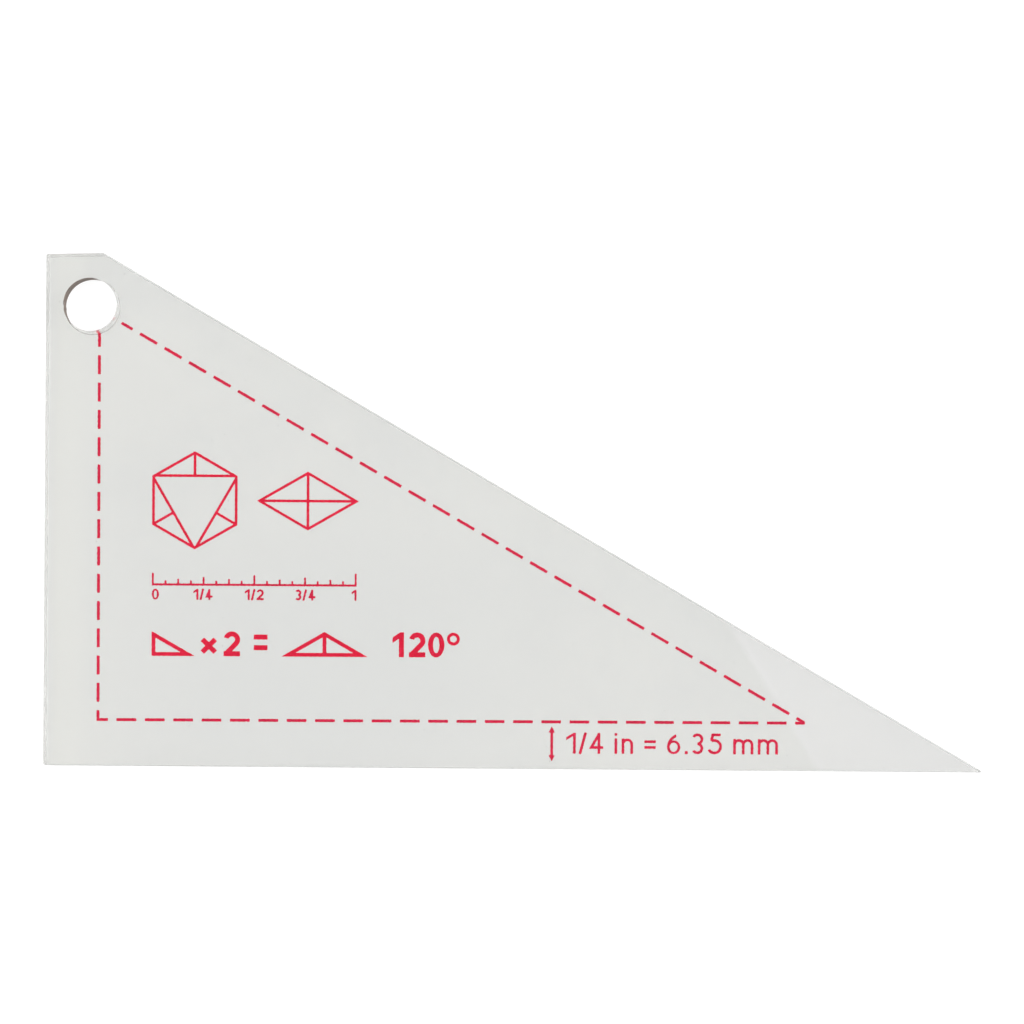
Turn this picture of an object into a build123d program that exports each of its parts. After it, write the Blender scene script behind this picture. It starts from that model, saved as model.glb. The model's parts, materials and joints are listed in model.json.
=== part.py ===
from build123d import *
import math
import os

# Quilting ruler: a clear acrylic half-triangle plate with one hanging hole, and crimson ink
# screen-printed on its back face.  Millimetres.  The ruler lies on its printed back: z = 0 is
# the back face, +Z the front that is read, +X runs towards the pointed tip and +Y towards the
# short flat top.  The origin is the middle of the footprint.

# Plate
PLATE_LENGTH = 116.5  # square corner to tip
PLATE_HEIGHT = 63.0  # square corner to flat top
PLATE_THICKNESS = 3.0
TIP_ANGLE = 30.0  # between the bottom edge and the slanted edge

# Hanging hole
HOLE_RADIUS = 3.25
HOLE_FROM_LEFT = 5.4
HOLE_FROM_TOP = 6.15

# Print: the seam triangle is a half-triangle with a 2 in short leg
SEAM_HEIGHT = 50.8
SEAM_LENGTH = SEAM_HEIGHT / math.tan(math.radians(TIP_ANGLE))
SEAM_SLANT = SEAM_HEIGHT / math.sin(math.radians(TIP_ANGLE))
PRINT_CORNER = (6.42, 5.52)  # square corner of the seam triangle, from the plate's
PRINT_TURN = 0.16  # the print sits this many degrees off the plate's edges
INK_THICKNESS = 0.05
DASH_WIDTH = 0.37
DASH_SHARE = 0.70  # dash length over pitch
PITCHES = {"left": 15, "bottom": 25, "slant": 29}
KNOCKOUT_RADIUS = 3.42  # ink stays out of this circle round the hole
KNOCKOUT_RISE = 0.5  # its centre, above the seam triangle's apex

# Figures and diagrams, placed from the seam triangle's square corner
INCH = 25.4
LEFT_MARGIN = 6.6  # where the rows of figures start
TITLE_HEIGHT = 3.1
TITLE_PEN = 0.63
TITLE_BASELINE = 7.95
TITLE_FIGURES_START = 36.5
SYMBOL_PEN = 0.48
SCALE_BASELINE = 16.7
BLOCK_BASELINE = 21.2
BLOCK_PEN = 0.33
LABEL_HEIGHT = 2.6
LABEL_PEN = 0.34
LABEL_BASELINE = -3.95
LABEL_START = 56.0

corner = Vector(-PLATE_LENGTH / 2, -PLATE_HEIGHT / 2)
hole_center = corner + Vector(HOLE_FROM_LEFT, PLATE_HEIGHT - HOLE_FROM_TOP)
print_place = Location((corner.X + PRINT_CORNER[0], corner.Y + PRINT_CORNER[1], 0), (0, 0, PRINT_TURN))


def bar(x, y, width, height):
    """A rectangle from its lower left corner."""
    return Pos(x, y) * Rectangle(width, height, align=(Align.MIN, Align.MIN))


def stroke(lines, pen):
    """Lines and arcs drawn with a flat pen."""
    return trace(lines, pen)


def outline(points, pen):
    """A closed outline whose outer side passes through the points."""
    shape = make_face(Polyline(*points, close=True))
    return shape - offset(shape, -pen, kind=Kind.INTERSECTION)


def ring(center, outer_x, outer_y, pen):
    """An upright oval ring."""
    return Pos(*center) * (Ellipse(outer_x, outer_y) - Ellipse(outer_x - pen, outer_y - 0.85 * pen))


# ---------------------------------------------------------------------------
# Figures: each is drawn on the baseline y = 0 from x = 0, h tall, with a pen p wide
# ---------------------------------------------------------------------------

def digit_zero(h, p):
    width = 0.66 * h
    return ring((width / 2, h / 2), width / 2, h / 2, p)


def digit_one(h, p):
    stem = 0.46 * h
    flag = 0.79 * h
    slope = (h - flag) / (stem - 0.8 * p)
    under = flag - 1.1 * p
    points = [
        (stem - p, 0),
        (stem, 0),
        (stem, h),
        (stem - 0.8 * p, h),
        (0, flag),
        (0, under),
        (stem - p, under + slope * (stem - p)),
    ]
    return make_face(Polyline(*points, close=True))


def digit_two(h, p):
    width = 0.66 * h
    r = (width - p) / 2
    center = Vector(width / 2, h - p / 2 - r)
    foot = Vector(p / 2, p / 2)
    reach = foot - center
    # where a straight line from the foot touches the bowl
    touch = math.degrees(math.atan2(reach.Y, reach.X) + math.acos(r / reach.length))
    bowl = CenterArc(center, r, 165, touch - 165)
    return stroke([bowl, Line(bowl @ 1, foot)], p) + bar(0, 0, width, p)


def digit_three(h, p):
    r = (h - p) / 4
    upper = CenterArc((0.25 * h, h - p / 2 - r), r, 150, -240)
    lower = CenterArc((0.25 * h, p / 2 + r), r, 90, -240)
    return stroke([upper], p) + stroke([lower], p)


def digit_four(h, p):
    width = 0.64 * h
    stem = width - 1.6 * p
    arm = 0.30 * h
    slope = [Line((stem, h - p / 2), (p / 2, arm)), Line((p / 2, arm), (width, arm))]
    return bar(stem - p / 2, 0, p, h) + stroke(slope, p)


def digit_five(h, p):
    width = 0.62 * h
    r = 0.30 * h
    bowl = CenterArc((width - p / 2 - r, p / 2 + r), r, 118, -270)
    lead = [Line((width - p / 2, h - p / 2), (1.3 * p, h - p / 2)), Line((1.3 * p, h - p / 2), bowl @ 0)]
    return stroke(lead, p) + stroke([bowl], p)


def digit_six(h, p):
    rx = 0.32 * h
    ry = 0.33 * h
    back = JernArc(start=(p / 2, ry), tangent=(0, 1), radius=0.6 * h, arc_size=-68)
    return ring((rx, ry), rx, ry, p) + stroke([back], p)


def letter_arches(h, p, arches):
    """An n for one arch, an m for two."""
    x_height = 0.74 * h
    reach = 0.42 * h
    r = reach / 2
    shape = bar(0, 0, p, x_height)
    for k in range(arches):
        left = p / 2 + k * reach
        spring = x_height - p / 2 - r
        arch = CenterArc((left + r, spring), r, 180, -180)
        shape += stroke([arch], p) + bar(left + reach - p / 2, 0, p, spring)
        shape += bar(left - p / 2, spring - p, p, p)
    return shape


def letter_i(h, p):
    return bar(0, 0, p, 0.74 * h) + bar(0, h - p, p, p)


def solidus(h, p):
    return stroke([Line((p / 2, -0.02 * h), (0.34 * h, 1.02 * h))], p)


def equals_sign(h, p):
    return bar(0, 0.25 * h, 0.55 * h, p) + bar(0, 0.25 * h + 2.1 * p, 0.55 * h, p)


def times_sign(h, p):
    span = 0.52 * h
    low = 0.16 * h
    rise = stroke([Line((0, low), (span, low + span))], p)
    fall = stroke([Line((0, low + span), (span, low))], p)
    return rise + fall


def full_stop(h, p):
    return bar(0, 0, 1.15 * p, 1.15 * p)


def degree_ring(h, p):
    radius = 0.26 * h
    return Pos(radius, h - radius) * (Circle(radius) - Circle(radius - 0.62 * p))


def in_row(start, baseline, glyphs):
    """Figures side by side: each entry is a figure and the gap that follows it."""
    placed = []
    cursor = start
    for glyph, gap in glyphs:
        box = glyph.bounding_box()
        placed.append(Pos(cursor - box.min.X, baseline) * glyph)
        cursor += box.size.X + gap
    return placed


# ---------------------------------------------------------------------------
# Dashed seam lines
# ---------------------------------------------------------------------------

def dashes(length, pitches):
    """Dashes centred on each pitch of a line along +X, with a half-dash at each end."""
    pitch = length / pitches
    dash = DASH_SHARE * pitch
    half = bar(0, -DASH_WIDTH / 2, dash / 2, DASH_WIDTH)
    row = [Pos(k * pitch, 0) * Rectangle(dash, DASH_WIDTH) for k in range(1, pitches)]
    return half, row, Pos(length - dash / 2, 0) * half


knockout = Pos(0, SEAM_HEIGHT + KNOCKOUT_RISE) * Circle(KNOCKOUT_RADIUS)


def clear_of_hole(shapes):
    """The ink that is left outside the circle kept clear round the hanging hole."""
    kept = []
    for shape in shapes:
        kept.extend(Sketch((shape - knockout).wrapped).faces())
    return kept


def seam_line_left():
    start, row, _ = dashes(SEAM_HEIGHT, PITCHES["left"])
    turned = Rot(0, 0, 90)
    corner_arm = turned * start - Rectangle(DASH_WIDTH, DASH_WIDTH)
    return clear_of_hole([corner_arm, *(turned * dash for dash in row)])


def seam_line_bottom():
    start, row, end = dashes(SEAM_LENGTH, PITCHES["bottom"])
    square_corner = bar(-DASH_WIDTH / 2, -DASH_WIDTH / 2, DASH_WIDTH, DASH_WIDTH)
    return [start + square_corner, *row, end]


def seam_line_slant():
    start, row, _ = dashes(SEAM_SLANT, PITCHES["slant"])
    from_tip = Pos(SEAM_LENGTH, 0) * Rot(0, 0, 180 - TIP_ANGLE)
    below = bar(0, -SEAM_HEIGHT, PLATE_LENGTH, SEAM_HEIGHT + DASH_WIDTH / 2)
    return [from_tip * start - below, *clear_of_hole([from_tip * dash for dash in row])]


# ---------------------------------------------------------------------------
# Printed figures and diagrams
# ---------------------------------------------------------------------------

def half_triangle(h):
    return [(0, 0), (h / math.tan(math.radians(TIP_ANGLE)), 0), (0, h)]


def angle_symbol():
    """Two of the ruler's triangles make one triangle with a 120 degree corner."""
    h = TITLE_HEIGHT
    span = h / math.tan(math.radians(TIP_ANGLE))
    whole = outline([(0, 0), (2 * span, 0), (span, h)], SYMBOL_PEN)
    whole += bar(span - SYMBOL_PEN / 2, 0, SYMBOL_PEN, 0.9 * h)
    return in_row(
        LEFT_MARGIN,
        TITLE_BASELINE,
        [
            (outline(half_triangle(h), SYMBOL_PEN), 0.7),
            (times_sign(h, TITLE_PEN), 0.8),
            (digit_two(h, TITLE_PEN), 1.7),
            (equals_sign(h, TITLE_PEN), 1.7),
            (whole, 0),
        ],
    )


def angle_figures():
    h = TITLE_HEIGHT
    glyphs = [
        (digit_one(h, TITLE_PEN), 0.62),
        (digit_two(h, TITLE_PEN), 0.32),
        (digit_zero(h, TITLE_PEN), 0.3),
        (degree_ring(h, TITLE_PEN), 0),
    ]
    return in_row(TITLE_FIGURES_START, TITLE_BASELINE, glyphs)


def inch_scale():
    """One inch in sixteenths, with its figures under the line."""
    rule = 0.27
    tick = 0.24
    tall = {1: 0.65, 2: 0.85, 4: 1.1, 8: 1.35, 16: 1.6}  # by the largest power of two in the count
    shape = bar(0, 0, INCH, rule)
    for k in range(17):
        shape += bar(k * (INCH - tick) / 16, 0, tick, tall[math.gcd(k, 16)])
    h = 1.35
    p = 0.26
    gap = 0.13
    slash = (solidus(h, p), gap)
    numbers = [
        [(digit_zero(h, p), 0)],
        [(digit_one(h, p), gap), slash, (digit_four(h, p), 0)],
        [(digit_one(h, p), gap), slash, (digit_two(h, p), 0)],
        [(digit_three(h, p), gap), slash, (digit_four(h, p), 0)],
        [(digit_one(h, p), 0)],
    ]
    figures = []
    for quarter, glyphs in enumerate(numbers):
        width = sum(glyph.bounding_box().size.X + space for glyph, space in glyphs)
        start = quarter * INCH / 4 - width / 2
        start = min(max(start, 0), INCH - width)
        figures += in_row(start, -h - 0.4, glyphs)
    place = Pos(LEFT_MARGIN, SCALE_BASELINE)
    return [place * piece for piece in (shape, *figures)]


def block_diagram():
    """Line diagrams of patchwork made from the ruler's triangle: a hexagon and a diamond."""
    side = 6.1
    tips = [Vector(side, 0).rotate(Axis.Z, 30 + 60 * k) for k in range(6)]
    outer = outline([(tip.X, tip.Y) for tip in tips], BLOCK_PEN)
    hexagon = outer
    for k in (0, 2, 4):
        hexagon += stroke([Line(tips[k], tips[k - 2])], BLOCK_PEN)
        hexagon += stroke([Line(0.5 * tips[k - 1], tips[k - 1])], BLOCK_PEN)
    hexagon = hexagon & make_face(Polyline(*[(tip.X, tip.Y) for tip in tips], close=True))
    long_half = side * math.cos(math.radians(TIP_ANGLE)) * 1.2
    short_half = long_half * math.tan(math.radians(TIP_ANGLE))
    diamond = outline([(-long_half, 0), (0, -short_half), (long_half, 0), (0, short_half)], BLOCK_PEN)
    diamond += Rectangle(2 * long_half - 3 * BLOCK_PEN, BLOCK_PEN)
    diamond += Rectangle(BLOCK_PEN, 2 * short_half - BLOCK_PEN)
    middle = BLOCK_BASELINE + side
    half_width = side * math.cos(math.radians(TIP_ANGLE))
    return [
        Pos(LEFT_MARGIN + half_width, middle) * hexagon,
        Pos(LEFT_MARGIN + 2 * half_width + 2.4 + long_half, middle) * diamond,
    ]


def seam_width_label():
    """An arrow across the margin and its width as figures, in inches and millimetres."""
    h = LABEL_HEIGHT
    p = LABEL_PEN
    head = 0.8
    top = -LABEL_BASELINE - 0.55
    foot = -1.0
    arrow = bar(-p / 2, foot + head / 2, p, top - foot - head)
    arrow += make_face(Polyline((-head / 2, foot + head), (head / 2, foot + head), (0, foot), close=True))
    arrow += make_face(Polyline((-head / 2, top - head), (head / 2, top - head), (0, top), close=True))
    space = 1.4
    close = 0.55
    return in_row(
        LABEL_START,
        LABEL_BASELINE,
        [
            (arrow, space),
            (digit_one(h, p), 0.35),
            (solidus(h, p), 0.25),
            (digit_four(h, p), space),
            (letter_i(h, p), close),
            (letter_arches(h, p, 1), space),
            (equals_sign(h, p), space),
            (digit_six(h, p), close),
            (full_stop(h, p), close),
            (digit_three(h, p), close),
            (digit_five(h, p), space),
            (letter_arches(h, p, 2), close),
            (letter_arches(h, p, 2), 0),
        ],
    )


def ink_film(shapes):
    """The shapes as separate films of ink let into the back of the plate."""
    solids = []
    for shape in shapes:
        for face in shape.faces():
            solids.extend(extrude(print_place * face, INK_THICKNESS, dir=(0, 0, 1)).solids())
    return solids


PRINTED = {
    "seam_line_left": seam_line_left,
    "seam_line_bottom": seam_line_bottom,
    "seam_line_slant": seam_line_slant,
    "angle_symbol": angle_symbol,
    "angle_figures": angle_figures,
    "inch_scale": inch_scale,
    "block_diagram": block_diagram,
    "seam_width_label": seam_width_label,
}


def acrylic_plate(ink):
    """The cut plate: outline, hanging hole, and the shallow beds that the ink lies in."""
    flat_top = PLATE_LENGTH - PLATE_HEIGHT / math.tan(math.radians(TIP_ANGLE))
    profile = Polyline(
        corner,
        corner + Vector(PLATE_LENGTH, 0),
        corner + Vector(flat_top, PLATE_HEIGHT),
        corner + Vector(0, PLATE_HEIGHT),
        close=True,
    )
    blank = make_face(profile) - Pos(hole_center) * Circle(HOLE_RADIUS)
    return extrude(blank, PLATE_THICKNESS, dir=(0, 0, 1)) - ink


def main():
    os.makedirs("parts", exist_ok=True)
    films = {name: ink_film(draw()) for name, draw in PRINTED.items()}
    plate = acrylic_plate([solid for solids in films.values() for solid in solids])
    export_step(Compound(label="acrylic_plate", children=plate.solids()), "parts/acrylic_plate.step")
    for name, solids in films.items():
        export_step(Compound(label=name, children=solids), f"parts/{name}.step")
        print(name, len(solids), "films")


main()
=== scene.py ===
import json
import math

import bmesh
import bpy
import numpy as np
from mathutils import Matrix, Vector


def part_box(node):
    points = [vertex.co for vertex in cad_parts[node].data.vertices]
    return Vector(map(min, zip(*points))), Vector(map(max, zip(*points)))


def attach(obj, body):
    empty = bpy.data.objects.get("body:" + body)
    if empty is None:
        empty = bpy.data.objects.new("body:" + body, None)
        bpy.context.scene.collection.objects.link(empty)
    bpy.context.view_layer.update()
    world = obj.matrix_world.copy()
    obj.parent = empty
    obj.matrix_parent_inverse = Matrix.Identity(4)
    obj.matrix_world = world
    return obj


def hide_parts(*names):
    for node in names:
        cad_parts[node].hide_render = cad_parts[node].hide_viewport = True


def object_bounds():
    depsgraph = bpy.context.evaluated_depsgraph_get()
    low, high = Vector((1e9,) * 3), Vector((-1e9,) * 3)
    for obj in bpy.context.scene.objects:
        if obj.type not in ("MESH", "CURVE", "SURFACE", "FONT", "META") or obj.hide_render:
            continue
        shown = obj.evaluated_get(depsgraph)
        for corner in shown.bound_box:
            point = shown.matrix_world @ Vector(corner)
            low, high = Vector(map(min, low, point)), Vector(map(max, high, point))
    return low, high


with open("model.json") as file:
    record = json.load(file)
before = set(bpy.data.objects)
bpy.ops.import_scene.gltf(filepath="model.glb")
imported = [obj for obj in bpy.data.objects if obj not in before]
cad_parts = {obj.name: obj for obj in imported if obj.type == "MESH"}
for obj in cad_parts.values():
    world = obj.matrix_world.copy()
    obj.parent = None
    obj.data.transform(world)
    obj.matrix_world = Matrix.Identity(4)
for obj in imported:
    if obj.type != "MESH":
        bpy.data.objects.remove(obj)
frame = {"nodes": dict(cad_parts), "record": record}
cad_low, cad_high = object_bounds()


# --- Camera --------------------------------------------------------------------------------
# The ruler lies face up and is seen from almost straight above, from arm's length, with the
# long edge across the picture.
MM = 0.001
CAMERA_HEIGHT = 300 * MM
CAMERA_ASIDE = (-5.44 * MM, 5.23 * MM)
CAMERA_TURN = (-0.958, -0.908, 0.557)  # degrees about X, Y and Z
CAMERA_LENS = 84.55
SENSOR_WIDTH = 36.0

scene = bpy.context.scene
camera_data = bpy.data.cameras.new("camera")
camera_data.sensor_width = SENSOR_WIDTH
camera_data.lens = CAMERA_LENS
camera = bpy.data.objects.new("camera", camera_data)
scene.collection.objects.link(camera)
footprint = (cad_low + cad_high) / 2
camera.location = (
    footprint.x + CAMERA_ASIDE[0],
    footprint.y + CAMERA_ASIDE[1],
    cad_low.z + CAMERA_HEIGHT,
)
camera.rotation_euler = [math.radians(angle) for angle in CAMERA_TURN]
scene.camera = camera
scene.view_settings.view_transform = "Standard"


# --- Floor and lights ----------------------------------------------------------------------
# A light table with a softbox on either side of it and a white sky, which give the clear edges
# something to refract, and a black card above the camera that dims the polished face.
class Value:
    """The output of a node. Arithmetic on it adds Math nodes."""

    def __init__(self, graph, socket):
        self.graph = graph
        self.socket = socket

    def output(self, name):
        return Value(self.graph, self.socket.node.outputs[name])

    def math(self, operation, *others):
        sockets = {0: self, **dict(enumerate(others, 1))}
        return self.graph.node("ShaderNodeMath", {"operation": operation}, sockets)

    def __add__(self, other):
        return self.math("ADD", other)

    def __sub__(self, other):
        return self.math("SUBTRACT", other)

    def __rsub__(self, other):
        return self.graph.node("ShaderNodeMath", {"operation": "SUBTRACT"}, {0: other, 1: self})

    def __mul__(self, other):
        return self.math("MULTIPLY", other)

    def __truediv__(self, other):
        return self.math("DIVIDE", other)

    __radd__ = __add__
    __rmul__ = __mul__

    def ramp(self, start, end):
        """0 at start, 1 at end, easing between them; start may be the larger."""
        settings = {"interpolation_type": "SMOOTHSTEP"}
        sockets = {"Value": self, "From Min": min(start, end), "From Max": max(start, end)}
        eased = self.graph.node("ShaderNodeMapRange", settings, sockets)
        return eased if start < end else 1 - eased


class Graph:
    """A material's node tree, empty at the start."""

    def __init__(self, name):
        self.material = bpy.data.materials.new(name)
        self.material.use_nodes = True
        self.tree = self.material.node_tree
        self.tree.nodes.clear()

    def node(self, kind, settings=None, sockets=None):
        """Any node: its type, its settings, then values or links for its sockets by name or place."""
        made = self.tree.nodes.new(kind)
        for name, setting in (settings or {}).items():
            setattr(made, name, setting)
        for name, value in (sockets or {}).items():
            if isinstance(name, int):
                socket = made.inputs[name]
            else:
                socket = next(s for s in made.inputs if s.enabled and s.name == name)
            if isinstance(value, Value):
                self.tree.links.new(value.socket, socket)
            else:
                socket.default_value = value
        return Value(self, next((s for s in made.outputs if s.enabled), None))

    def place(self):
        """The object's own coordinates, and their x, y and z."""
        where = self.node("ShaderNodeTexCoord").output("Object")
        parts = self.node("ShaderNodeSeparateXYZ", None, {0: where})
        return where, parts.output("X"), parts.output("Y"), parts.output("Z")

    def noise(self, where, scale, detail=2.0, roughness=0.5):
        """Cloudy noise between 0 and 1, around 0.5; scale is in cycles per metre."""
        sockets = {"Vector": where, "Scale": scale, "Detail": detail, "Roughness": roughness}
        return self.node("ShaderNodeTexNoise", {"noise_dimensions": "3D"}, sockets).output("Fac")

    def mix(self, factor, a, b):
        return self.node("ShaderNodeMix", {"data_type": "RGBA"}, {"Factor": factor, "A": a, "B": b})

    def finish(self, shader):
        self.node("ShaderNodeOutputMaterial", None, {"Surface": shader})
        return self.material


FLOOR_SIDE = 3.0
FLOOR_GAP = 0.05 * MM
FLOOR_TONE = (0.88, 0.88, 0.88, 1)
FLOOR_GLOW = 1.06
FLOOR_MATT_SHARE = 0.15
HOOD_SIDE = 0.62
HOOD_HEIGHT = 0.62
HOOD_TONE = (0.05, 0.05, 0.05, 1)
SOFTBOX_SIDE = 1.2
SOFTBOX_AWAY = 1.1
SOFTBOX_ELEVATION = 42  # degrees
SOFTBOX_BEARINGS = (0, 180)
SOFTBOX_POWER = 22.0
SURROUND_TONE = (1.0, 1.0, 1.0, 1)
SURROUND_STRENGTH = 0.95


def stage_square(name, side, height, material):
    """A flat square of stage, facing up."""
    corners = side / 2 * np.array([[-1, -1], [1, -1], [1, 1], [-1, 1]])
    mesh = bpy.data.meshes.new(name)
    mesh.from_pydata(np.column_stack([corners, np.full(4, height)]).tolist(), [], [(0, 1, 2, 3)])
    mesh.materials.append(material)
    square = bpy.data.objects.new(name, mesh)
    scene.collection.objects.link(square)


def floor_material():
    """A light table: pale, matt and lit from within, so that nothing on it throws a hard shadow.

    From below it isn't there, so that the printed back can be looked at.
    """
    g = Graph("table_top")
    matt = g.node("ShaderNodeBsdfDiffuse", None, {"Color": FLOOR_TONE})
    glow = g.node("ShaderNodeEmission", None, {"Strength": FLOOR_GLOW})
    top = g.node("ShaderNodeMixShader", None, {0: FLOOR_MATT_SHARE, 1: glow, 2: matt})
    nothing = g.node("ShaderNodeBsdfTransparent")
    below = g.node("ShaderNodeNewGeometry").output("Backfacing")
    return g.finish(g.node("ShaderNodeMixShader", None, {0: below, 1: top, 2: nothing}))


def hood_material():
    """A black card that keeps the sky out of the polished face; from above it isn't there."""
    g = Graph("black_card")
    matt = g.node("ShaderNodeBsdfDiffuse", None, {"Color": HOOD_TONE})
    nothing = g.node("ShaderNodeBsdfTransparent")
    below = g.node("ShaderNodeNewGeometry").output("Backfacing")
    return g.finish(g.node("ShaderNodeMixShader", None, {0: below, 1: nothing, 2: matt}))


stage_square("floor", FLOOR_SIDE, cad_low.z - FLOOR_GAP, floor_material())
stage_square("hood", HOOD_SIDE, HOOD_HEIGHT, hood_material())

softbox_data = bpy.data.lights.new("softbox", "AREA")
softbox_data.shape = "SQUARE"
softbox_data.size = SOFTBOX_SIDE
softbox_data.energy = SOFTBOX_POWER
tilt = math.radians(90 - SOFTBOX_ELEVATION)
for bearing in SOFTBOX_BEARINGS:
    turn = math.radians(bearing)
    softbox = bpy.data.objects.new("softbox", softbox_data)
    level_away = SOFTBOX_AWAY * math.sin(tilt)
    softbox.location = (
        level_away * math.cos(turn),
        level_away * math.sin(turn),
        SOFTBOX_AWAY * math.cos(tilt),
    )
    softbox.rotation_euler = (tilt, 0, turn + math.pi / 2)
    scene.collection.objects.link(softbox)

world = bpy.data.worlds.new("surroundings")
world.use_nodes = True
world.node_tree.nodes["Background"].inputs["Color"].default_value = SURROUND_TONE
world.node_tree.nodes["Background"].inputs["Strength"].default_value = SURROUND_STRENGTH
scene.world = world


# --- Acrylic plate -------------------------------------------------------------------------
# Clear cast acrylic sheet, cut to its outline by laser, which leaves fine upright ripples, a
# slight lean and taper from front to back, and hairline rounding where the rims melted.
RIM = 0.035 * MM  # melted rounding along every rim
# at the square corner, the tip, the top of the slant and the square end of the flat top
CORNER_RADII = (0.35 * MM, 0.12 * MM, 0.35 * MM, 0.25 * MM)
ARC_POINTS = 9
BEAM_LEAN = np.array([0.0, -0.18, 0.0]) * MM  # from the front outline to the back one
OUTLINE_TAPER = 0.05 * MM  # how far the back outline is drawn in all round
HOLE_FLARE = 0.17 * MM  # how much wider the hole is at the back
TRIM = 0.20 * MM  # how far the slant runs on past the flat top's square end
RIPPLE_DEPTH = 0.0015 * MM
RIPPLE_STEP = 0.3 * MM
OUTLINE_RIPPLES = (97, 151, 240, 333, 420)  # cycles in one turn of the outline
HOLE_RIPPLES = (5, 11, 23, 31)
HOLE_RIPPLE_DEPTH = 1.5 * RIPPLE_DEPTH
NIB_HEIGHT = 0.07 * MM  # a nib in the hole, where the beam broke through
NIB_BEARING = 184  # degrees
NIB_SPREAD = 3.5  # degrees
RIM_RINGS = 4
WALL_LEVELS = 7
FACE_SHARES = (0.04, 0.2, 0.6, 0.96)  # of the way across a face
SEED = 120

plate_low, plate_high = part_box("acrylic_plate")
hole = next(m for m in frame["record"]["mounts"] if m["name"] == "hanging_hole")
hole_center = np.array([hole["pos_m"][0], hole["pos_m"][1], 0.0])
hole_radius = hole["dims"]["r_mm"] * MM
thickness = plate_high[2] - plate_low[2]
plate_tall = plate_high[1] - plate_low[1]
flat_top = (plate_high[0] - plate_low[0]) - plate_tall * math.sqrt(3)
rng = np.random.default_rng(SEED)


def rounded_outline(corners, radii, step):
    """The outline through the corners, taken anticlockwise, with a round arc in place of each corner.

    Straight stretches are the points between two arcs' ends, a step apart; an arc is its centre
    plus its radius times the outward direction, which turns evenly from one side's to the next.
    Returns the points, their outward directions and the length run so far.
    """
    sides = np.roll(corners, -1, axis=0) - corners
    along = sides / np.linalg.norm(sides, axis=1, keepdims=True)
    outward = np.stack([along[:, 1], -along[:, 0]], axis=1)
    points, normals = [], []
    for k, radius in enumerate(radii):
        before, after = outward[k - 1], outward[k]
        start = math.atan2(before[1], before[0])
        turn = (math.atan2(after[1], after[0]) - start) % (2 * math.pi)
        center = corners[k] - radius * (before + after) / (1 + before @ after)
        angle = start + np.linspace(0, turn, ARC_POINTS)
        arc_normals = np.stack([np.cos(angle), np.sin(angle)], axis=1)
        points.append(center + radius * arc_normals)
        normals.append(arc_normals)
    whole, facing = [], []
    for k, arc in enumerate(points):
        gap = points[(k + 1) % len(points)][0] - arc[-1]
        count = max(2, round(np.linalg.norm(gap) / step))
        share = np.arange(1, count)[:, None] / count
        whole += [arc, arc[-1] + share * gap]
        facing += [normals[k], np.repeat(normals[k][-1:], count - 1, axis=0)]
    whole, facing = np.concatenate(whole), np.concatenate(facing)
    run = np.linalg.norm(np.roll(whole, -1, axis=0) - whole, axis=1)
    return whole, facing, np.concatenate([[0.0], np.cumsum(run)])


def ripple(turn_share, cycles, depth):
    """A sum of sine waves with whole numbers of cycles in one turn, so that it closes on itself."""
    phase = rng.uniform(0, 2 * np.pi, len(cycles))
    waves = np.sin(2 * np.pi * np.outer(turn_share, cycles) + phase)
    return depth * waves.sum(axis=1) / math.sqrt(len(cycles))


outline_corners = np.array([
    [plate_low[0], plate_low[1]],
    [plate_high[0], plate_low[1]],
    [plate_low[0] + flat_top - TRIM * math.sqrt(3), plate_high[1] + TRIM],
    [plate_low[0], plate_high[1]],
])
edge, facing, run = rounded_outline(outline_corners, CORNER_RADII, RIPPLE_STEP)
edge = np.column_stack([edge, np.zeros(len(edge))])
facing = np.column_stack([facing, np.zeros(len(facing))])
share = run[:-1] / run[-1]
edge_ripple = ripple(share, OUTLINE_RIPPLES, RIPPLE_DEPTH)
bearing = np.arctan2(edge[:, 1] - hole_center[1], edge[:, 0] - hole_center[0])
spoke = np.column_stack([np.cos(bearing), np.sin(bearing), np.zeros(len(bearing))])
hole_ripple = ripple(bearing / (2 * np.pi), HOLE_RIPPLES, HOLE_RIPPLE_DEPTH)
from_nib = np.angle(np.exp(1j * (bearing - math.radians(NIB_BEARING))))
hole_ripple -= NIB_HEIGHT * np.exp(-((from_nib / math.radians(NIB_SPREAD)) ** 2))


def outline_ring(inset, z):
    """The outline at height z, drawn in by inset and by its share of the taper, and leaning."""
    depth = 1 - z / thickness
    inward = inset + OUTLINE_TAPER * depth + edge_ripple
    return edge - facing * inward[:, None] + BEAM_LEAN * depth + [0, 0, z]


def hole_ring(widening, z):
    """The hole's edge at height z: a circle with its share of the flare, leaning with the beam."""
    depth = 1 - z / thickness
    radius = hole_radius + widening + HOLE_FLARE * depth + hole_ripple
    return hole_center + spoke * radius[:, None] + BEAM_LEAN * depth + [0, 0, z]


def face_rings(inner, outer, shares):
    """Rings across a flat face, on straight lines between its two edges."""
    return [inner + t * (outer - inner) for t in shares]


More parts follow.
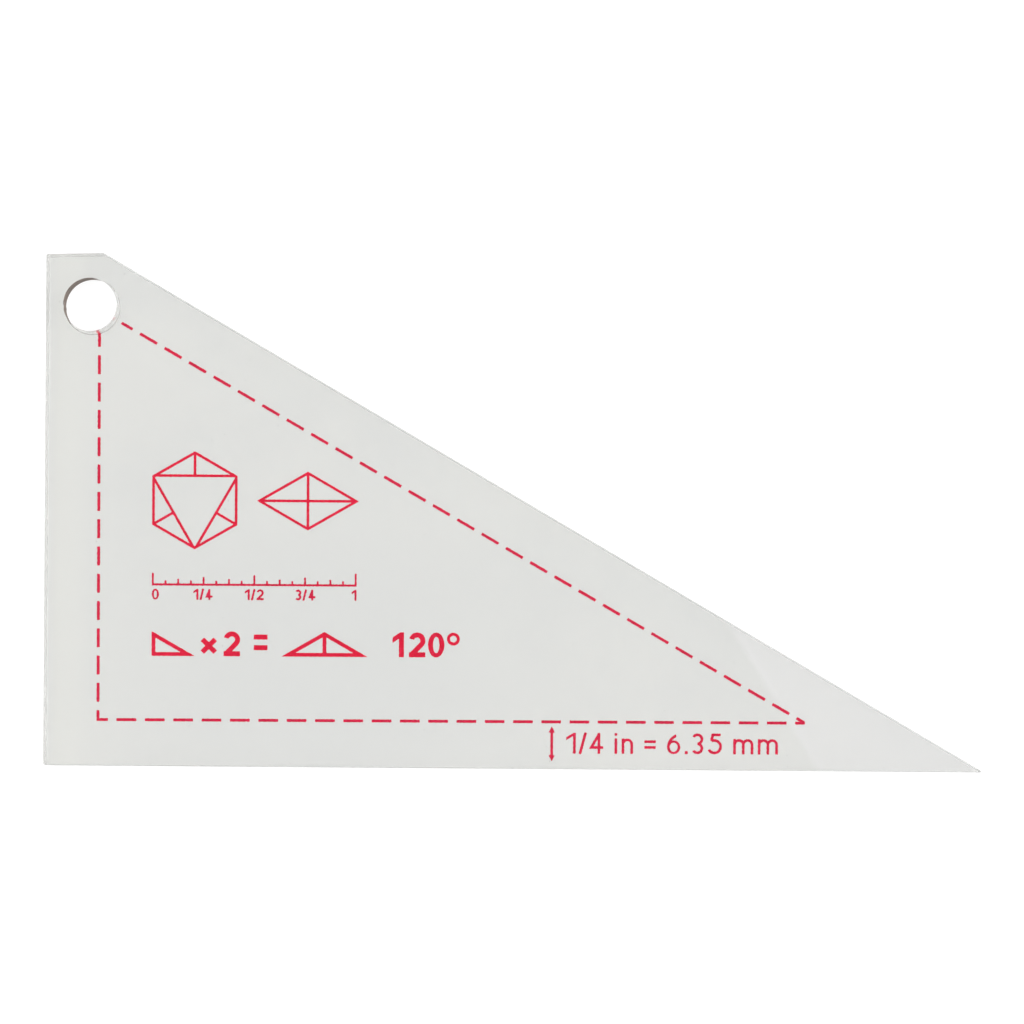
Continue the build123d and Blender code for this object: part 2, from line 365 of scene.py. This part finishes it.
def plate_section():
    """The plate as one closed grid of rings.

    The first parameter goes round the plate, the second round its section: out across the
    front face, over the rim, down the wall, back across the printed face and up the hole.
    """
    quarter = np.linspace(0, math.pi / 2, RIM_RINGS)
    drop = RIM * (1 - np.cos(quarter))
    draw_in = RIM * (1 - np.sin(quarter))
    heights = np.linspace(thickness - RIM, RIM, WALL_LEVELS)[1:-1]
    front_outline = [outline_ring(i, thickness - d) for i, d in zip(draw_in, drop)]
    back_outline = [outline_ring(i, d) for i, d in zip(draw_in[::-1], drop[::-1])]
    back_hole = [hole_ring(i, d) for i, d in zip(draw_in, drop)]
    front_hole = [hole_ring(i, thickness - d) for i, d in zip(draw_in[::-1], drop[::-1])]
    wall = [outline_ring(0.0, z) for z in heights]
    bore = [hole_ring(0.0, z) for z in heights[::-1]]
    front = face_rings(front_hole[-1], front_outline[0], FACE_SHARES)
    back = face_rings(back_outline[-1], back_hole[0], FACE_SHARES)
    kinds = [("front", front), ("edge", front_outline), ("edge", wall), ("edge", back_outline)]
    kinds += [("back", back), ("hole", back_hole), ("hole", bore), ("hole", front_hole)]
    rings = np.stack([ring for _, group in kinds for ring in group])
    labels = [kind for kind, group in kinds for _ in group]
    return rings, labels


rings, ring_kinds = plate_section()
ring_count, around = rings.shape[:2]
index = np.arange(ring_count * around).reshape(ring_count, around)
next_ring = np.roll(index, -1, axis=0)
across = [index, next_ring, np.roll(next_ring, -1, axis=1), np.roll(index, -1, axis=1)]
quads = np.stack(across, axis=-1)
plate_mesh = bpy.data.meshes.new("clear_plate")
plate_mesh.from_pydata(rings.reshape(-1, 3).tolist(), [], quads.reshape(-1, 4).tolist())
plate = bpy.data.objects.new("clear_plate", plate_mesh)
scene.collection.objects.link(plate)

# a row of quads is flat if either of its rings lies inside a face
row_kind = np.array([
    next((kind for kind in pair if kind in ("front", "back")), pair[0])
    for pair in zip(ring_kinds, ring_kinds[1:] + ring_kinds[:1])
])
flat_rows = np.isin(row_kind, ("front", "back"))
plate_mesh.polygons.foreach_set("use_smooth", np.repeat(~flat_rows, around))
row_slots = np.where(flat_rows, 0, 1).astype(np.int32)
plate_mesh.polygons.foreach_set("material_index", np.repeat(row_slots, around))

# the cut edge's map: millimetres round the outline, or round the hole, against height
round_outline = run / MM
round_hole = np.concatenate([np.unwrap(bearing), [bearing[0] + 2 * np.pi]]) * hole_radius / MM
level = np.concatenate([rings[:, 0, 2], rings[:1, 0, 2]]) / MM
u = np.where((row_kind == "hole")[:, None], round_hole, round_outline)
corner_u = np.stack([u[:, :-1], u[:, :-1], u[:, 1:], u[:, 1:]], axis=-1)
corner_v = np.stack([level[:-1], level[1:], level[1:], level[:-1]], axis=-1)
corner_v = np.broadcast_to(corner_v[:, None, :], corner_u.shape)
cut_map = plate_mesh.uv_layers.new(name="cut")
cut_map.data.foreach_set("uv", np.stack([corner_u, corner_v], axis=-1).ravel())

GLASS_INDEX = 1.49
CLEAR_TINT = (0.800, 0.803, 0.779, 1)
CLOUD_TINT = (0.772, 0.779, 0.763, 1)
LEFT_HIGHLIGHT_TINT = (0.815, 0.818, 0.785, 1)
SHADE_PATCH_TINT = (0.768, 0.776, 0.762, 1)
TIP_TINT = (0.828, 0.826, 0.822, 1)
CLOUD_CYCLES = 55  # per metre, as are all of these
SMEAR_CYCLES = 140
DUST_PATCH_CYCLES = 400
GRAIN_CYCLES = 900
SPECK_CYCLES = 900
# Painted shade: a broad darker patch of the face toward the upper left.
SHADE_PATCH_AT = (-24.0, -19.0)  # mm
SHADE_PATCH_REACH = (16.0, 44.0)  # mm: whole within the first, gone beyond the second
# Painted highlight: a lighter band just inside the left edge, with a lighter line in it.
LEFT_HIGHLIGHT_BAND = (0.4, 1.5, 3.0, 6.0)  # mm from the left: begins, whole, still whole, gone
LINE_FROM_LEFT = 1.9  # mm
LINE_HALF_WIDTH = (0.03, 0.12)  # mm: whole within the first, gone beyond the second
TIP_WIPE = (0.85, 0.526, 15.7)  # direction across the mark near the tip, its distance in mm
TIP_WIPE_EASE = (-0.3, 0.6)  # mm across the mark, over which the tip's tint comes in
TIP_WIPE_HALF_WIDTH = (0.1, 0.7)  # mm: whole within the first, gone beyond the second
SPECK_RADIUS = (0.04, 0.10)
FACE_ROUGHNESS = (0.02, 0.05)  # the least, and what a smear adds
VEIL_CLOUD, VEIL_DUST = 0.008, 0.16  # how much of the clear sheet each hides
DUST_TONE = (0.30, 0.29, 0.28, 1)


def sheet_face_material():
    """Polished faces: a grey-green cast, clouding and a wipe mark by the tip from handling, a broad
    patch of painted shade, a painted highlight along the left edge, and dust specks.
    """
    g = Graph("acrylic_face")
    where, x, y, _ = g.place()
    cloud = g.noise(where, CLOUD_CYCLES, detail=3.0)
    grain = g.noise(where, GRAIN_CYCLES, detail=2.0)
    tint = g.mix((cloud * 0.8 + grain * 0.35).ramp(0.4, 0.8), CLEAR_TINT, CLOUD_TINT)
    # painted shade: the broad darker patch toward the upper left
    across, along = x / MM - SHADE_PATCH_AT[0], y / MM - SHADE_PATCH_AT[1]
    shade_patch = (across * across + along * along * 2.0).math("SQRT") + cloud * 16
    tint = g.mix(shade_patch.ramp(SHADE_PATCH_REACH[1], SHADE_PATCH_REACH[0]) * 0.85, tint, SHADE_PATCH_TINT)
    # painted highlight: the lighter band and line just inside the left edge
    from_left = (x - plate_low[0]) / MM
    begins, whole, still_whole, gone = LEFT_HIGHLIGHT_BAND
    left_highlight = from_left.ramp(begins, whole) * from_left.ramp(gone, still_whole)
    from_line = (from_left - LINE_FROM_LEFT).math("ABSOLUTE")
    line = from_line.ramp(LINE_HALF_WIDTH[1], LINE_HALF_WIDTH[0])
    tint = g.mix(left_highlight * 0.6 + line * 0.4, tint, LEFT_HIGHLIGHT_TINT)
    past_wipe = (x * TIP_WIPE[0] + y * TIP_WIPE[1]) / MM - TIP_WIPE[2] + cloud * 1.2 - 0.6
    from_wipe = past_wipe.math("ABSOLUTE")
    wipe_mark = from_wipe.ramp(TIP_WIPE_HALF_WIDTH[1], TIP_WIPE_HALF_WIDTH[0]) * 0.35
    tint = g.mix(past_wipe.ramp(*TIP_WIPE_EASE) * 0.55 + wipe_mark, tint, TIP_TINT)
    smear = g.noise(where, SMEAR_CYCLES, detail=2.0)
    waves = g.node("ShaderNodeBump", None, {"Strength": 0.02, "Distance": 0.0005, "Height": cloud})
    clear = g.node("ShaderNodeBsdfPrincipled", None, {
        "Base Color": tint,
        "Roughness": FACE_ROUGHNESS[0] + smear * FACE_ROUGHNESS[1],
        "IOR": GLASS_INDEX,
        "Transmission Weight": 1.0,
        "Normal": waves,
    })
    cells = g.node("ShaderNodeTexVoronoi", {"feature": "F1"}, {"Vector": where, "Scale": SPECK_CYCLES})
    specks = cells.output("Distance").ramp(SPECK_RADIUS[1], SPECK_RADIUS[0])
    dust = specks * g.noise(where, DUST_PATCH_CYCLES).ramp(0.52, 0.62)
    haze = g.node("ShaderNodeBsdfDiffuse", None, {"Color": DUST_TONE})
    veil = cloud * VEIL_CLOUD + dust * VEIL_DUST
    return g.finish(g.node("ShaderNodeMixShader", None, {0: veil, 1: clear, 2: haze}))


EDGE_TINT = (0.80, 0.80, 0.79, 1)
EDGE_STREAK_TINT = (0.70, 0.695, 0.68, 1)
# Painted shade: the hole's wall is dark brown up its whole height on one side; the same browns mark soot
# along its low rim.
SOOT_AND_SHADE_TONE = (0.060, 0.040, 0.030, 1)
SOOT_AND_SHADE_PALE = (0.17, 0.13, 0.10, 1)
SHADED_SIDE_FROM = 150  # degrees: the side of the hole whose wall carries painted shade
SOOT_AND_SHADE_CYCLES = 1500  # per metre
SHADED_SIDE_EASE = (0.30, 0.62)  # cosine of the angle from that side, over which it comes in
SOOTY_LIP = (0.06, 0.13)  # share of the thickness: whole below the first, gone above the second
SOOTY_LIP_SHARE = 0.55
SOOT_AND_SHADE_ROUGHNESS = (0.55, 0.2)  # the least, and what a patch adds
STREAK_STRETCH = (9.0, 0.6, 1.0)
EDGE_ROUGHNESS = (0.24, 0.16)  # the least, and what a streak adds


def cut_edge_material():
    """Laser-cut walls: satin with fine upright streaks; the hole's wall has soot along its low rim and
    painted shade in dark brown up one side.
    """
    g = Graph("acrylic_cut_edge")
    where, x, y, z = g.place()
    cut = g.node("ShaderNodeUVMap", {"uv_map": "cut"})
    stretch = g.node("ShaderNodeMapping", None, {"Vector": cut, "Scale": STREAK_STRETCH})
    streak = g.noise(stretch, 1.0, detail=3.0)
    relief = g.node("ShaderNodeBump", None, {"Strength": 0.25, "Distance": 0.00002, "Height": streak})
    clear = g.node("ShaderNodeBsdfPrincipled", None, {
        "Base Color": g.mix(streak.ramp(0.35, 0.7), EDGE_TINT, EDGE_STREAK_TINT),
        "Roughness": EDGE_ROUGHNESS[0] + streak * EDGE_ROUGHNESS[1],
        "IOR": GLASS_INDEX,
        "Transmission Weight": 1.0,
        "Normal": relief,
    })
    from_x = x - hole_center[0]
    from_y = y - hole_center[1]
    far = (from_x * from_x + from_y * from_y).math("SQRT")
    at_hole = far.ramp(1.5 * hole_radius, 1.3 * hole_radius)
    # painted shade on one side of the hole's wall, mixed with the soot along its low rim
    aim = math.radians(SHADED_SIDE_FROM)
    sideways = (from_x * math.cos(aim) + from_y * math.sin(aim)) / far
    patch = g.noise(where, SOOT_AND_SHADE_CYCLES, detail=3.0)
    shaded_side = (sideways + patch * 0.5 - 0.05).ramp(*SHADED_SIDE_EASE)
    lip = (z / thickness + patch * 0.12).ramp(SOOTY_LIP[1], SOOTY_LIP[0]) * SOOTY_LIP_SHARE
    soot_and_shade_mix = at_hole * shaded_side.math("MAXIMUM", lip)
    tone = g.mix(patch.ramp(0.35, 0.7), SOOT_AND_SHADE_TONE, SOOT_AND_SHADE_PALE)
    soot_and_shade = g.node("ShaderNodeBsdfPrincipled", None, {
        "Base Color": tone,
        "Roughness": SOOT_AND_SHADE_ROUGHNESS[0] + patch * SOOT_AND_SHADE_ROUGHNESS[1],
        "Normal": relief,
    })
    return g.finish(g.node("ShaderNodeMixShader", None, {0: soot_and_shade_mix, 1: clear, 2: soot_and_shade}))


plate_mesh.materials.append(sheet_face_material())
plate_mesh.materials.append(cut_edge_material())
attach(plate, "root")
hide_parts("acrylic_plate")


# --- Screen print --------------------------------------------------------------------------
# Crimson ink squeezed through a mesh onto the back of the plate: thin films with softened
# corners and slightly ragged sides, keyed into the plastic. Each CAD node's outline is reused.
FILM_SINK = 0.030 * MM  # into the plate
FILM_PROUD = 0.012 * MM  # behind it
SIDE_STEP = 0.05 * MM  # between points along a film's side
SOFTENING = 2  # passes that round its corners
MERGE_STEPS = 1e7  # per metre: outline points are merged on a grid this fine
RAGGED = 0.016 * MM
RAGGED_WAVES = (0.14 * MM, 0.55 * MM)  # shortest and longest
WAVE_COUNT = 14
INK_DEEP = (0.79, 0.008, 0.044, 1)
INK_THIN = (0.81, 0.026, 0.080, 1)
LINE_INK_DEEP = (0.70, 0.012, 0.056, 1)
LINE_INK_THIN = (0.74, 0.034, 0.098, 1)
INK_SHEEN = 0.12  # the film is keyed into the plastic with no air between, so it hardly shines
INK_ROUGHNESS = (0.5, 0.2)  # the least, and what the mottle adds
MOTTLE_CYCLES = 900  # per metre
THIN_CYCLES = 5200
PRINTED = {
    "seam_line_left": "ink_seam_left",
    "seam_line_bottom": "ink_seam_bottom",
    "seam_line_slant": "ink_seam_slant",
    "angle_symbol": "ink_angle_symbol",
    "angle_figures": "ink_angle_figures",
    "inch_scale": "ink_inch_scale",
    "block_diagram": "ink_block_diagram",
    "seam_width_label": "ink_seam_width",
}
BOLD = ("angle_symbol", "angle_figures", "block_diagram")

wave_angle = rng.uniform(0, 2 * np.pi, WAVE_COUNT)
wave_number = 2 * np.pi / np.geomspace(*RAGGED_WAVES, WAVE_COUNT)
wave_vector = np.stack([np.cos(wave_angle), np.sin(wave_angle)]) * wave_number
wave_phase = rng.uniform(0, 2 * np.pi, WAVE_COUNT)
push_angle = rng.uniform(0, 2 * np.pi, WAVE_COUNT)
push = np.stack([np.cos(push_angle), np.sin(push_angle)], axis=1) * RAGGED / math.sqrt(WAVE_COUNT / 2)


def film_outline(node):
    """A film's sides seen from above: (points, pairs of points), cut into short steps.

    The sides are the edges that only one of the CAD node's upward triangles has, kept in that
    triangle's direction. Each point then moves to the mean of itself and its two neighbours, a
    few times over, which rounds the corners, and is pushed by a sum of waves in x and y, which
    makes the sides ragged.
    """
    mesh = frame["nodes"][node].data
    points = np.zeros(len(mesh.vertices) * 3, np.float32)
    mesh.vertices.foreach_get("co", points)
    triangles = np.zeros(len(mesh.loops), np.int32)
    mesh.loops.foreach_get("vertex_index", triangles)
    points, triangles = points.reshape(-1, 3).astype(float), triangles.reshape(-1, 3)
    on_grid = np.round(points[:, :2] * MERGE_STEPS).astype(int)
    merged, same = np.unique(on_grid, axis=0, return_inverse=True)
    a, b, c = (points[triangles[:, k]] for k in range(3))
    upward = np.cross(b - a, c - a)[:, 2] > 0
    triangles = same.ravel()[triangles[upward]]
    edges = np.concatenate([triangles[:, [0, 1]], triangles[:, [1, 2]], triangles[:, [2, 0]]])
    forward, backward = edges @ [len(merged), 1], edges @ [1, len(merged)]
    edges = edges[~np.isin(forward, backward)]
    used, edges = np.unique(edges, return_inverse=True)
    edges, points = edges.reshape(-1, 2), merged[used] / MERGE_STEPS
    start, span = points[edges[:, 0]], points[edges[:, 1]] - points[edges[:, 0]]
    steps = np.maximum(1, np.ceil(np.linalg.norm(span, axis=1) / SIDE_STEP)).astype(int)
    owner = np.repeat(np.arange(len(edges)), steps - 1)
    place = np.arange(len(owner)) - np.repeat(np.cumsum(steps - 1) - (steps - 1), steps - 1) + 1
    number = len(points) + np.arange(len(owner))
    first = np.where(place == 1, edges[owner, 0], number - 1)
    last = edges[:, 0].copy()
    last[owner] = number
    pairs = np.concatenate([np.stack([first, number], axis=1), np.stack([last, edges[:, 1]], axis=1)])
    points = np.concatenate([points, start[owner] + span[owner] * (place / steps[owner])[:, None]])
    after, before = np.zeros(len(points), int), np.zeros(len(points), int)
    after[pairs[:, 0]], before[pairs[:, 1]] = pairs[:, 1], pairs[:, 0]
    for _ in range(SOFTENING):
        points = (points + points[before] + points[after]) / 3
    return points + np.sin(points @ wave_vector + wave_phase) @ push, pairs


def film(name, node):
    """The film of ink on a node's outline: upright sides, filled at the top and at the bottom."""
    points, pairs = film_outline(node)
    count = len(points)
    heights = cad_low.z + np.repeat([-FILM_PROUD, FILM_SINK], count)
    corners = np.column_stack([np.tile(points, (2, 1)), heights])
    sides = np.column_stack([pairs, pairs[:, ::-1] + count])
    mesh = bpy.data.meshes.new(name)
    mesh.from_pydata(corners.tolist(), [], sides.tolist())
    solid = bmesh.new()
    solid.from_mesh(mesh)
    for is_end in (lambda z: z < cad_low.z, lambda z: z > cad_low.z):
        rim = [edge for edge in solid.edges if all(is_end(v.co.z) for v in edge.verts)]
        bmesh.ops.triangle_fill(solid, use_beauty=True, edges=rim, normal=(0, 0, 1))
    bmesh.ops.recalc_face_normals(solid, faces=solid.faces)
    solid.to_mesh(mesh)
    solid.free()
    made = bpy.data.objects.new(name, mesh)
    scene.collection.objects.link(made)
    return made


def ink_material(name, deep, thin_tone):
    """Dense crimson with a faint mottle where the film is thinner."""
    g = Graph(name)
    where = g.node("ShaderNodeTexCoord").output("Object")
    mottle = g.noise(where, MOTTLE_CYCLES, detail=4.0, roughness=0.6)
    thin = g.noise(where, THIN_CYCLES, detail=2.0)
    grain = g.node("ShaderNodeBump", None, {"Strength": 0.2, "Distance": 0.00001, "Height": thin})
    return g.finish(g.node("ShaderNodeBsdfPrincipled", None, {
        "Base Color": g.mix((mottle * 0.6 + thin * 0.5).ramp(0.45, 0.8), deep, thin_tone),
        "Roughness": INK_ROUGHNESS[0] + mottle * INK_ROUGHNESS[1],
        "Specular IOR Level": INK_SHEEN,
        "Normal": grain,
    }))


bold_ink = ink_material("crimson_ink", INK_DEEP, INK_THIN)
line_ink = ink_material("crimson_ink_fine", LINE_INK_DEEP, LINE_INK_THIN)
for node, name in PRINTED.items():
    piece = film(name, node)
    piece.data.materials.append(bold_ink if node in BOLD else line_ink)
    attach(piece, "root")
    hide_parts(node)
